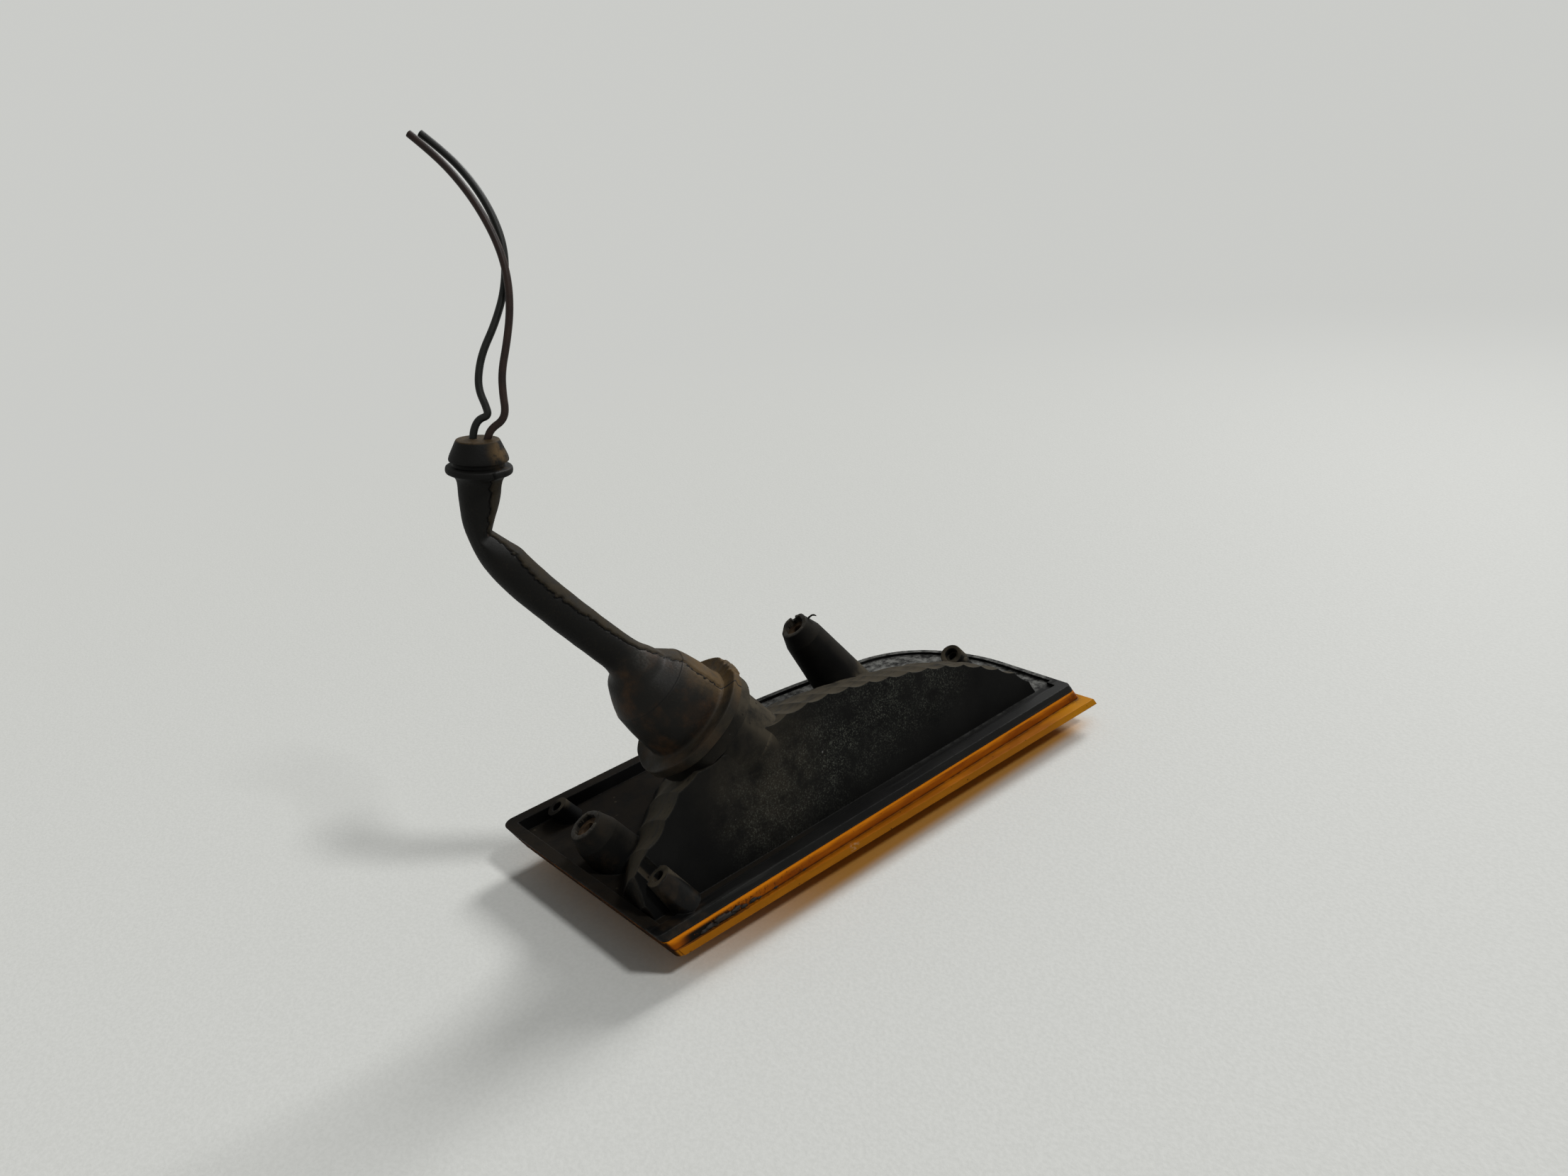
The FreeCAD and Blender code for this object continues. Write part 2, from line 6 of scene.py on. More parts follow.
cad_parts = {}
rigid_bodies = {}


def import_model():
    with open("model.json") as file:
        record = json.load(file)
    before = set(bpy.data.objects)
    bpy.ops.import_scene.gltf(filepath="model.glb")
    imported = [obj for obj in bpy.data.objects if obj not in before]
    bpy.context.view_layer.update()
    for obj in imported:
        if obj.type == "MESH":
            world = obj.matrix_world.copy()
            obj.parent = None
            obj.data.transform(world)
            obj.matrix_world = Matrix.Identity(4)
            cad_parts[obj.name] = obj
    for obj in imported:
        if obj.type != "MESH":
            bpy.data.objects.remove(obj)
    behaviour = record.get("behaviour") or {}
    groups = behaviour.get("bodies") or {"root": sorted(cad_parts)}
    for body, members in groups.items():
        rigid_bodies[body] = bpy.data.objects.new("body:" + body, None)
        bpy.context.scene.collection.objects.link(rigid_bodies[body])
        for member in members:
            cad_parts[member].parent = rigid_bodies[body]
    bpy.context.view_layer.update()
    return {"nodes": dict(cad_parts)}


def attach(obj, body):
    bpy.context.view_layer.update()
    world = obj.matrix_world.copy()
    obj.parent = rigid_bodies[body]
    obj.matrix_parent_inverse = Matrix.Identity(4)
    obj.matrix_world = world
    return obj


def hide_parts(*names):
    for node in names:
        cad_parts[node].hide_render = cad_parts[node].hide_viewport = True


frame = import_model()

scene = bpy.context.scene
scene.view_settings.view_transform = "Standard"
mm = 0.001
for leftover in [item for item in bpy.data.objects if item.name in ("Cube", "Light", "Camera")]:
    bpy.data.objects.remove(leftover)
print("frame loaded,", len(frame["nodes"]), "nodes")


def clearSelection():
    if bpy.context.object and bpy.context.object.mode != "OBJECT":
        bpy.ops.object.mode_set(mode="OBJECT")
    bpy.ops.object.select_all(action="DESELECT")


def makeActive(piece):
    clearSelection()
    piece.select_set(True)
    bpy.context.view_layer.objects.active = piece


def applyAll(piece):
    makeActive(piece)
    for modifier in list(piece.modifiers):
        bpy.ops.object.modifier_apply(modifier=modifier.name)


# Camera at the photograph's viewing angle
view = {
    "place": (-0.15499, -0.30398, 0.20869),
    "right": (0.7423, -0.6619, -0.1043),
    "up": (0.3189, 0.2122, 0.9237),
    "lens": 27.02,
    "sensor": 36,
}
clearSelection()
bpy.ops.object.camera_add(location=view["place"])
camera = bpy.context.object
right = Vector(view["right"]).normalized()
up = Vector(view["up"])
up = (up - right * up.dot(right)).normalized()
back = right.cross(up)
camera.rotation_euler = Matrix([[right[row], up[row], back[row]] for row in range(3)]).to_euler()
camera.data.lens = view["lens"]
camera.data.sensor_width = view["sensor"]
camera.data.sensor_fit = "HORIZONTAL"
scene.camera = camera
print("camera set")


# Cut lead wires: the routes of the source, with some points moved and added to follow the photograph
wires = {
    "radius": 1.1,
    "feed": [
        (18.2, -10.4, 49.1), (17.0, -10.0, 50.8), (18.7, -11.4, 54.2), (13.9, -9.9, 61.0),
        (8.8, -8.1, 69.5), (3.4, -4.9, 78.7), (-2.2, -0.9, 87.2), (-8.2, 3.1, 96.1),
        (-13.2, 5.6, 106.3), (-13.0, 4.5, 116.5), (-11.7, 3.7, 127.4), (-10.4, 3.2, 134.2),
        (-9.2, 3.1, 137.2), (-7.4, 2.8, 139.1), (-5.0, 1.6, 139.6), (-4.8, 2.5, 142.2),
        (-5.0, 4.4, 146.4), (-3.7, 5.7, 150.6), (-0.6, 6.6, 156.4), (5.1, 6.7, 163.4),
        (10.8, 8.0, 172.0), (14.6, 10.6, 182.2), (15.4, 15.2, 191.6), (14.2, 21.0, 200.8),
        (11.2, 27.4, 209.2), (6.9, 33.1, 215.6),
    ],
    "earth": [
        (23.9, -9.9, 53.1), (22.7, -9.4, 54.8), (21.7, -10.7, 56.4), (16.5, -7.9, 62.4),
        (9.8, -4.6, 69.2), (2.1, -2.2, 76.8), (-5.2, -0.7, 85.2), (-10.9, 0.9, 95.5),
        (-14.0, 2.2, 106.5), (-12.0, 2.0, 116.3), (-9.2, 1.3, 126.9), (-7.4, 0.5, 133.7),
        (-5.8, -0.3, 136.3), (-2.8, -1.7, 137.9), (-1.2, -1.7, 140.4), (-0.3, -0.3, 145.0),
        (1.4, 1.2, 150.8), (5.3, 2.2, 158.4), (8.8, 3.4, 166.6), (11.2, 5.6, 175.4),
        (12.2, 9.6, 184.6), (11.5, 15.6, 194.6), (9.6, 21.9, 203.2), (6.6, 27.9, 210.4),
        (3.5, 33.2, 215.8),
    ],
}


def smoothLine(name, points, radius):
    curve = bpy.data.curves.new(name, "CURVE")
    curve.dimensions = "3D"
    spline = curve.splines.new("NURBS")
    spline.points.add(len(points) - 1)
    for point, place in zip(spline.points, points):
        point.co = (place[0] * mm, place[1] * mm, place[2] * mm, 1)
        point.radius = radius
    spline.order_u = 3
    spline.use_endpoint_u = True
    curve.resolution_u = 8
    piece = bpy.data.objects.new(name, curve)
    scene.collection.objects.link(piece)
    return piece


def leadWire(name, route, node):
    piece = smoothLine(name, route, wires["radius"] * mm)
    piece.data.bevel_depth = 1  # times the radius of each point
    piece.data.bevel_resolution = 6
    piece.data.use_fill_caps = True
    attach(piece, "root")
    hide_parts(node)
    return piece


feedLead = leadWire("feedLead", wires["feed"], "feed_wire")
earthLead = leadWire("earthLead", wires["earth"], "earth_wire")
print("lead wires laid")


# Rubber boot: a turned skin, dented and then bent along a guide line
boot = {
    "guide": [
        (36.4, -16.2, 30.0), (29.5, -13.5, 39.5), (22.6, -10.8, 48.9), (19.5, -10.9, 56.5),
        (10.3, -6.8, 68.1), (-8.6, 1.3, 94.2), (-11.9, 3.6, 106.5), (-12.0, 3.7, 116.0),
        (-10.6, 2.6, 125.0), (-9.5, 2.1, 133.9),
    ],
    # radius and height over the neck, from the seat inside the flange to the tube
    "bell": [
        (14.6, 3.0), (18.4, 3.0), (18.6, 2.8), (18.6, 0.2), (18.8, 0.0), (21.7, 0.0), (22.0, 0.15),
        (22.05, 0.5), (22.15, 3.3), (22.1, 3.65), (21.8, 3.85), (21.4, 3.85), (20.4, 3.55), (18.6, 3.3),
        (17.2, 3.4), (16.55, 3.8), (16.35, 4.6), (16.3, 6.6), (16.1, 9.2), (15.75, 13.0),
        (15.2, 16.5), (14.5, 19.9), (14.42, 20.3), (14.15, 20.5), (13.95, 20.9), (12.95, 22.8), (11.5, 25.2),
        (9.85, 27.9), (8.3, 30.4), (7.0, 32.6), (6.4, 35.2), (6.2, 38.5), (6.1, 42.0),
    ],
    "tubeRings": 26,
    # radius and height from the nose's tip
    "head": [
        (6.05, -19.0), (6.05, -15.0), (6.3, -12.4), (6.9, -10.8), (8.4, -10.0), (9.3, -9.6), (9.5, -9.3),
        (9.55, -8.7), (9.45, -8.0), (9.1, -7.7), (7.5, -7.55), (7.2, -7.35), (7.2, -6.6), (7.3, -6.3),
        (8.2, -6.2), (8.45, -6.0), (8.4, -5.2), (7.6, -3.2), (6.3, -0.4), (6.05, -0.1), (5.8, 0.0),
        (3.0, 0.0), (0.0, 0.0),
    ],
    "steps": 48,
    # parting line: height along the boot and angle round it
    "seam": [
        (0, 62), (6, 62), (10, 64), (14.7, 60), (18.8, 67), (28.5, 73), (32, 67), (35, 56),
        (38.5, 52), (44, 47), (51, 41), (56, 37), (60, 36), (67, 30), (72, 32), (80, 32),
        (83, 37), (89.6, 52), (92, 54), (95, 40), (102, 24), (108, 24), (130, 20),
    ],
    "seamEnd": (112, 114),
    "lap": 0.28,  # the upper half laps over the lower one
    "groove": {"depth": 0.6, "half": 0.45},
    "waves": {"height": 0.12, "size": 5},
    "flange": {"top": 4.6, "inner": 17, "outer": 22, "waves": 0.45},
    # stretches of the flange: middle, half width and ease in degrees, then depth
    "torn": {"angle": 92, "half": 24, "ease": 18, "depth": 1.7},
    "flare": {"angle": -78, "half": 34, "ease": 30, "depth": 1.1},
    "kink": {"height": 92.6, "angle": 74, "depth": 5.3, "above": 13, "below": 11, "fall": 1.6},
}


def share(value, low, high):  # eased step from 0 at low to 1 at high
    step = min(max((value - low) / (high - low), 0), 1)
    return step * step * (3 - 2 * step)


def between(table, value):
    for (low, first), (high, second) in zip(table, table[1:]):
        if value <= high:
            return first + (second - first) * max(value - low, 0) / (high - low)
    return table[-1][1]


def dentBoot(piece):
    kink = boot["kink"]
    groove = boot["groove"]
    waves = boot["waves"]
    flange = boot["flange"]
    torn = boot["torn"]
    flare = boot["flare"]
    seam = piece.data.attributes.new("seam", "FLOAT", "POINT")
    along = piece.data.attributes.new("along", "FLOAT", "POINT")
    push = Vector((math.cos(math.radians(kink["angle"])), math.sin(math.radians(kink["angle"])), 0))
    for vertex in piece.data.vertices:
        height = vertex.co.z / mm
        radius = math.hypot(vertex.co.x, vertex.co.y) / mm
        angle = math.degrees(math.atan2(vertex.co.y, vertex.co.x))
        out = Vector((vertex.co.x, vertex.co.y, 0)).normalized() if radius > 0.01 else Vector((0, 0, 1))
        jag = noise.noise(Vector((height * 0.4, 3.1, 0))) * 0.9
        jag += noise.noise(Vector((height * 1.3, 9.4, 0))) * 0.8
        gap = (angle - between(boot["seam"], height) + 180) % 360 - 180
        across = math.radians(gap) * radius + jag
        seam.data[vertex.index].value = across
        along.data[vertex.index].value = height
        outside = share(height, 0.5, 5) if radius < flange["inner"] else 1
        lift = boot["lap"] * share(across, -0.1, 0.5) * share(-across, -3.5, -0.5)
        lift -= groove["depth"] * share(groove["half"] - abs(across), 0, groove["half"])
        lift *= outside * (1 - share(height, *boot["seamEnd"])) * share(height, 3.5, 5)
        lift += waves["height"] * noise.noise(Vector(vertex.co) / (waves["size"] * mm))
        if height < flange["top"] and radius > flange["inner"]:
            tear = share(torn["half"] - abs(angle - torn["angle"]), 0, torn["ease"])
            ragged = noise.noise(Vector((angle * 0.21, height * 0.4, 2.0))) + 0.25
            lift -= tear * torn["depth"] * max(ragged, 0)
            lift += flange["waves"] * noise.noise(Vector((angle * 0.03, 0, 7.7)))
            spread = share(flare["half"] - abs(angle - flare["angle"]), 0, flare["ease"])
            spread *= share(radius, flange["inner"], flange["outer"])
            vertex.co.z -= spread * flare["depth"] * mm
        rise = height - kink["height"]
        reach = kink["above"] if rise > 0 else kink["below"]
        pinch = max(1 - abs(rise) / reach, 0) ** kink["fall"]
        side = share(out.dot(push), -0.55, 0.9)
        vertex.co += out * (lift * mm) - push * (kink["depth"] * pinch * side * mm)


def lineLength(piece):
    mesh = bpy.data.meshes.new_from_object(piece)
    places = [vertex.co.copy() for vertex in mesh.vertices]
    bpy.data.meshes.remove(mesh)
    return sum((after - before).length for before, after in zip(places, places[1:]))


def turnedSkin(name, profile, steps):
    clearSelection()
    bpy.ops.mesh.primitive_plane_add(size=mm)
    piece = bpy.context.object
    piece.name = name
    bpy.ops.object.mode_set(mode="EDIT")
    bpy.ops.mesh.select_all(action="SELECT")
    bpy.ops.mesh.merge(type="CENTER")
    bpy.ops.transform.translate(value=(profile[0][0] * mm, 0, profile[0][1] * mm))
    for before, after in zip(profile, profile[1:]):
        step = ((after[0] - before[0]) * mm, 0, (after[1] - before[1]) * mm)
        bpy.ops.mesh.extrude_region_move(TRANSFORM_OT_translate={"value": step})
    bpy.ops.mesh.select_all(action="SELECT")
    bpy.ops.mesh.spin(steps=steps, angle=2 * math.pi, center=(0, 0, 0), axis=(0, 0, 1))
    bpy.ops.mesh.select_all(action="SELECT")
    bpy.ops.mesh.remove_doubles(threshold=0.00001)
    bpy.ops.mesh.normals_make_consistent(inside=False)
    bpy.ops.object.mode_set(mode="OBJECT")
    return piece


def makeBoot():
    guide = smoothLine("bootGuide", boot["guide"], 1)
    guide.data.twist_mode = "MINIMUM"
    tip = lineLength(guide) / mm
    head = [(radius, tip + height) for radius, height in boot["head"]]
    low = boot["bell"][-1][1]
    high = head[0][1]
    count = boot["tubeRings"]
    rings = [(boot["bell"][-1][0], low + (high - low) * ring / (count + 1)) for ring in range(1, count + 1)]
    piece = turnedSkin("bootSkin", boot["bell"] + rings + head, boot["steps"])
    smooth = piece.modifiers.new("smooth", "SUBSURF")
    smooth.levels = 2
    smooth.render_levels = 2
    applyAll(piece)
    dentBoot(piece)
    bend = piece.modifiers.new("bend", "CURVE")
    bend.object = guide
    bend.deform_axis = "POS_Z"
    applyAll(piece)
    bpy.data.objects.remove(guide)
    makeActive(piece)
    bpy.ops.object.shade_smooth()
    print("boot tip at", round(tip, 1), "mm along,", len(piece.data.polygons), "faces")
    return piece, tip


bootSkin, bootTip = makeBoot()
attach(bootSkin, "root")
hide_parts("rubber_boot")
print("rubber boot made")


# Torn lip and curl of flash at the mouth of the tall tower, brown scale in the mouth of the short one
tornLip = {
    "draw": (-0.4585, 0.2150, 0.8623),  # the way both towers lean
    "mouths": {"tallTornLip": (117.31, 24.32, 22.79), "shortTornLip": (-0.69, 0.32, 1.29)},
    "sections": [(4.5, -2.6), (4.42, 0.15), (5.0, 0.34), (5.75, 0.05), (5.8, -0.5), (4.7, -0.9)],
    "steps": 72,
    # angle, half width and depth or height in mm
    "tear": {"tallTornLip": (157, 12, 2.0), "shortTornLip": (70, 24, 0.5)},
    "swell": {"tallTornLip": (140, 115, 1.25), "shortTornLip": (180, 90, 0.2)},
    "curl": [
        (120.5, 21.6, 22.9), (121.6, 21.1, 25.2), (122.8, 20.6, 26.3),
        (124.2, 20.1, 26.6), (125.2, 19.8, 25.6),
    ],
    "curlRadius": 0.4,
    "curlEnd": 0.4,  # share of the radius left at the curl's end
    "ragged": [(3.1, 0.45), (9, 0.25)],  # pace round the mouth and size
    "inner": 4.6,
    "crease": 50,
}


def makeLip(name):
    middle, half, depth = tornLip["tear"][name]
    crest, spread, height = tornLip["swell"][name]
    piece = turnedSkin(name, tornLip["sections"] + tornLip["sections"][:1], tornLip["steps"])
    seed = len(name) * 1.7
    for vertex in piece.data.vertices:
        angle = math.degrees(math.atan2(vertex.co.y, vertex.co.x)) % 360
        out = Vector((vertex.co.x, vertex.co.y, 0)).normalized()
        upper = share(vertex.co.z / mm, -1.2, 0)
        tear = share(half - abs(angle - middle), 0, half * 0.4)
        ragged = 0
        for pace, size in tornLip["ragged"]:
            ragged += noise.noise(Vector((out.x * pace, out.y * pace, seed))) * size
        swell = share(spread - abs(angle - crest), 0, spread * 0.6)
        vertex.co.z += upper * (ragged * 0.6 + swell * height - tear * depth) * mm
        if vertex.co.xy.length < tornLip["inner"] * mm:
            vertex.co += out * (ragged * 0.9 - 0.2) * mm
    turn = Vector(tornLip["draw"]).to_track_quat("Z", "Y").to_matrix().to_4x4()
    piece.data.transform(Matrix.Translation(Vector(tornLip["mouths"][name]) * mm) @ turn)
    makeActive(piece)
    bpy.ops.object.shade_smooth_by_angle(angle=math.radians(tornLip["crease"]))
    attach(piece, "root")
    return piece


tornLips = [makeLip(name) for name in tornLip["mouths"]]
flashCurl = smoothLine("flashCurl", tornLip["curl"], tornLip["curlRadius"] * mm)
flashCurl.data.bevel_depth = 1
flashCurl.data.bevel_resolution = 2
flashCurl.data.use_fill_caps = True
flashCurl.data.splines[0].points[-1].radius *= tornLip["curlEnd"]
makeActive(flashCurl)
bpy.ops.object.convert(target="MESH")
flashCurl = bpy.context.object
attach(flashCurl, "root")
print("tower mouths torn")


# Fairing under the bulb neck and the short tube of the right screw boss
fittings = {
    # centre in mm, axis, then radius and height of each ring
    "neckFairing": {
        "centre": (35.21, -15.78, 31.59),
        "axis": (-0.5726, 0.2260, 0.7881),
        "rings": [
            (17.6, -19.6), (18.02, -20.5), (18.0, -22.0), (17.85, -23.6), (17.45, -25.6), (16.8, -27.8),
            (15.7, -30.4), (13.6, -33.0), (9.0, -34.6), (0.0, -35.0),
        ],
        "steps": 56,
        "crease": 40,
    },
    "rightBossTube": {
        "centre": (176.7, -3.4, -4.9),
        "axis": (-0.629, -0.179, 0.756),
        "rings": [
            (5.3, -8.5), (5.0, -5.0), (4.65, -1.4), (4.55, -0.3), (4.35, 0.0), (3.1, 0.0), (2.75, -0.25),
            (2.6, -0.8), (2.5, -4.5), (0.0, -4.6),
        ],
        "steps": 56,
        "crease": 40,
    },
}


def makeFitting(name, facts):
    piece = turnedSkin(name, facts["rings"], facts["steps"])
    turn = Vector(facts["axis"]).to_track_quat("Z", "Y").to_matrix().to_4x4()
    piece.data.transform(Matrix.Translation(Vector(facts["centre"]) * mm) @ turn)
    makeActive(piece)
    bpy.ops.object.shade_smooth_by_angle(angle=math.radians(facts["crease"]))
    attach(piece, "root")
    return piece


fittingPieces = [makeFitting(name, facts) for name, facts in fittings.items()]
print("neck and boss faired")


# Crumbs of old sealant left on the lens, beside the near left corner
crumbs = {
    "face": -53.6,
    "rough": 0.45,
    "grain": 0.55,
    "tall": 1.15,  # height over thickness
    # along the edge, height, length, thickness
    "lumps": [
        (4.2, -16.3, 1.5, 0.55), (6.4, -15.9, 1.9, 0.7), (8.8, -16.4, 1.4, 0.5), (10.6, -15.4, 2.4, 0.85),
        (13.0, -15.9, 2.0, 0.75), (15.2, -16.4, 1.3, 0.5), (16.8, -15.6, 1.9, 0.6), (20.0, -16.3, 1.4, 0.5),
        (23.6, -16.2, 1.6, 0.55), (26.0, -16.6, 1.0, 0.4), (33.0, -16.7, 0.9, 0.35), (45.5, -16.7, 0.8, 0.3),
    ],
}


def makeCrumbs():
    clearSelection()
    made = []
    for along, height, length, thick in crumbs["lumps"]:
        bpy.ops.mesh.primitive_ico_sphere_add(subdivisions=3, radius=mm)
        lump = bpy.context.object
        for vertex in lump.data.vertices:
            lumpy = noise.noise(vertex.co / (crumbs["grain"] * mm) + Vector((along, height, 0)))
            spot = vertex.co * (1 + crumbs["rough"] * lumpy)
            vertex.co = Vector((spot.x * length, spot.y * thick, spot.z * thick * crumbs["tall"]))
            vertex.co += Vector((along, crumbs["face"], height)) * mm
        made.append(lump)
    clearSelection()
    for lump in made:
        lump.select_set(True)
    bpy.context.view_layer.objects.active = made[0]
    bpy.ops.object.join()
    piece = bpy.context.object
    piece.name = "sealantCrumbs"
    bpy.ops.object.shade_smooth()
    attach(piece, "root")
    return piece


sealantCrumbs = makeCrumbs()
print("sealant crumbs laid")


# Pale table that sweeps up behind the lamp
table = {
    "height": -28.3,
    "middle": 0.09,
    "near": 1.6,
    "far": 3.0,
    "rise": 0.8,
    "width": 8.0,
    "sweep": 0.6,
    "segments": 24,
}


def makeTable():
    heading = math.atan2(-back.y, -back.x) - math.pi / 2
    clearSelection()
    bpy.ops.mesh.primitive_plane_add(size=1)
    floor = bpy.context.object
    floor.name = "paleTable"
    bpy.ops.object.mode_set(mode="EDIT")
    bpy.ops.transform.resize(value=(table["width"], table["near"] + table["far"], 1))
    bpy.ops.transform.translate(value=(0, (table["far"] - table["near"]) / 2, 0))
    bpy.ops.object.mode_set(mode="OBJECT")
    for edge in floor.data.edges:
        edge.select = all(floor.data.vertices[index].co.y > 0 for index in edge.vertices)
    for vertex in floor.data.vertices:
        vertex.select = vertex.co.y > 0
    for face in floor.data.polygons:
        face.select = False
    bpy.ops.object.mode_set(mode="EDIT")
    bpy.ops.mesh.extrude_region_move(TRANSFORM_OT_translate={"value": (0, 0, table["rise"])})
    bpy.ops.object.mode_set(mode="OBJECT")
    sweep = floor.modifiers.new("sweep", "BEVEL")
    sweep.width = table["sweep"]
    sweep.segments = table["segments"]
    applyAll(floor)
    floor.rotation_euler = (0, 0, heading)
    floor.location = (table["middle"], 0, table["height"] * mm)
    bpy.ops.object.transform_apply(location=True, rotation=True, scale=True)
    bpy.ops.object.shade_smooth()
    return floor


paleTable = makeTable()
print("table set")


# Soft light: a broad lamp from behind on the right, one from in front on the right, an even room
light = {
    # the way each lamp lies, its strength and its breadth in degrees
    "keyLamp": {"towards": (0.76, 0.20, 0.62), "strength": 2.1, "breadth": 19},
    "frontLamp": {"towards": (0.17, -0.56, 0.80), "strength": 1.5, "breadth": 8},
    "room": 0.205,
    "air": (0.99, 1, 0.99, 1),
    "backdrop": 0.60,
}


def softLamp(name, facts):
    clearSelection()
    bpy.ops.object.light_add(type="SUN", location=(0, 0, 1))
    lamp = bpy.context.object
    lamp.name = name
    lamp.data.energy = facts["strength"]
    lamp.data.angle = math.radians(facts["breadth"])
    lamp.rotation_euler = Vector(facts["towards"]).to_track_quat("Z", "Y").to_euler()


softLamp("keyLamp", light["keyLamp"])
softLamp("frontLamp", light["frontLamp"])
print("lights set")


class Feed:  # a socket that can be used in sums
    def __init__(self, tree, socket):
        self.tree = tree
        self.socket = socket

    def add(self, kind, settings, inputs, out=0):
        node = self.tree.nodes.new(kind)
        for name, value in settings.items():
            setattr(node, name, value)
        for name, value in inputs.items():
            if isinstance(value, Feed):
                self.tree.links.new(value.socket, node.inputs[name])
            else:
                node.inputs[name].default_value = value
        return Feed(self.tree, node.outputs[out])

    def sum(self, operation, first, second):
        return self.add("ShaderNodeMath", {"operation": operation}, {0: first, 1: second})

    def __add__(self, other):
        return self.sum("ADD", self, other)

    __radd__ = __add__

    def __sub__(self, other):
        return self.sum("SUBTRACT", self, other)

    def __rsub__(self, other):
        return self.sum("SUBTRACT", other, self)

    def __mul__(self, other):
        return self.sum("MULTIPLY", self, other)

    __rmul__ = __mul__

    def most(self, other):
        return self.sum("MAXIMUM", self, other)

    def least(self, other):
        return self.sum("MINIMUM", self, other)

    def rise(self, low, high):  # 0 under low, 1 over high, or the other way round
        settings = {"interpolation_type": "SMOOTHSTEP"}
        inputs = {"Value": self, "From Min": min(low, high), "From Max": max(low, high)}
        if low > high:
            inputs.update({"To Min": 1, "To Max": 0})
        return self.add("ShaderNodeMapRange", settings, inputs)

    def vector(self, operation, second, out=0):
        return self.add("ShaderNodeVectorMath", {"operation": operation}, {0: self, 1: second}, out)

    def grain(self, size, detail=4, rough=0.55, stretch=None):  # noise with features of this size in mm
        place = self.vector("MULTIPLY", stretch) if stretch else self
        inputs = {"Vector": place, "Scale": 1 / (size * mm), "Detail": detail, "Roughness": rough}
        return self.add("ShaderNodeTexNoise", {}, inputs, "Fac")

    def dots(self, size):  # distance from the middle of the nearest cell, cells of this size in mm
        return self.add("ShaderNodeTexVoronoi", {}, {"Vector": self, "Scale": 1 / (size * mm)}, "Distance")

    def near(self, place, inner, outer):  # 1 inside a ball round a place in mm, 0 outside it
        return self.vector("DISTANCE", Vector(place) * mm, "Value").rise(outer * mm, inner * mm)

    def beside(self, first, last, inner, outer):  # the same round a line between two places
        run = (Vector(last) - Vector(first)) * mm
        away = self.vector("SUBTRACT", Vector(first) * mm)
        step = away.vector("DOT_PRODUCT", run / run.length_squared, "Value").most(0).least(1)
        foot = self.add("ShaderNodeVectorMath", {"operation": "SCALE"}, {0: run, "Scale": step})
        return away.vector("DISTANCE", foot, "Value").rise(outer * mm, inner * mm)

    def axis(self, name):
        return self.add("ShaderNodeSeparateXYZ", {}, {0: self}, name)

    def tint(self, mask, colour):  # lays a colour over this one
        return self.add("ShaderNodeMix", {"data_type": "RGBA"}, {0: mask, 6: self, 7: (*colour, 1)}, 2)


def newFinish(name, gloss):
    finish = bpy.data.materials.new(name)
    finish.use_nodes = True
    tree = finish.node_tree
    shader = tree.nodes["Principled BSDF"]
    shader.inputs["Specular IOR Level"].default_value = gloss
    place = Feed(tree, None).add("ShaderNodeTexCoord", {}, {}, "Object")
    return finish, shader, place


def facingOf(place):
    return place.add("ShaderNodeTexCoord", {}, {}, "Normal")


def plug(shader, name, value):
    value.tree.links.new(value.socket, shader.inputs[name])


def blendOf(place, mask, first, second):
    return place.add("ShaderNodeMix", {"data_type": "RGBA"}, {0: mask, 6: (*first, 1), 7: (*second, 1)}, 2)


def bumpOf(place, height, strength, distance, base=None):
    inputs = {"Height": height, "Strength": strength, "Distance": distance * mm}
    if base is not None:
        inputs["Normal"] = base
    return place.add("ShaderNodeBump", {}, inputs)


def softEdges(place, facing, radius):  # rounded edges, and a mask of where they are
    soft = place.add("ShaderNodeBevel", {"samples": 4}, {"Radius": radius * mm})
    return soft, soft.vector("DOT_PRODUCT", facing, "Value").rise(0.99, 0.93)


def wear(node, finish):
    data = frame["nodes"][node].data
    data.materials.clear()
    data.materials.append(finish)


# Housing: black moulding under beige dust, with lime specks on its face and edges lightened partly by wear,
# partly as painted highlight
housingLook = {
    "dark": (0.0030, 0.0030, 0.0029),
    "mid": (0.0062, 0.0061, 0.0057),
    "speck": (0.060, 0.063, 0.052),
    "beige": (0.056, 0.047, 0.033),
    "lime": (0.15, 0.15, 0.14),
    "brown": (0.026, 0.017, 0.010),
    "scuffAndHighlight": (0.028, 0.028, 0.026),
    "soil": (0.0085, 0.0066, 0.0046),
    "gloss": 0.05,
    "polish": 0.12,  # worn shine of the near strip
    "belt": ((42, -40, 3), (130, -37, 18)),
    "towers": [((128, 19, 3), (117, 24, 23)), ((6, -4, -10), (-0.7, 0.3, 1.3))],
    "leftRim": ((-12, 38, -10), (-3, -50, -10)),
    # edges of the zones in metres, from no effect to full effect
    "stripDepth": (-0.0456, -0.0464),
    "wallFoot": (-0.0092, -0.0075),
    "rimFoot": (-0.0132, -0.0122),
    "rimTop": (-0.0092, -0.0098),
    "limeEnd": (0.085, 0.13),
    "limeDepth": (-0.046, -0.04),
    "trayEnd": (0.064, 0.050),
    "trayTop": (-0.0082, -0.0092),
}


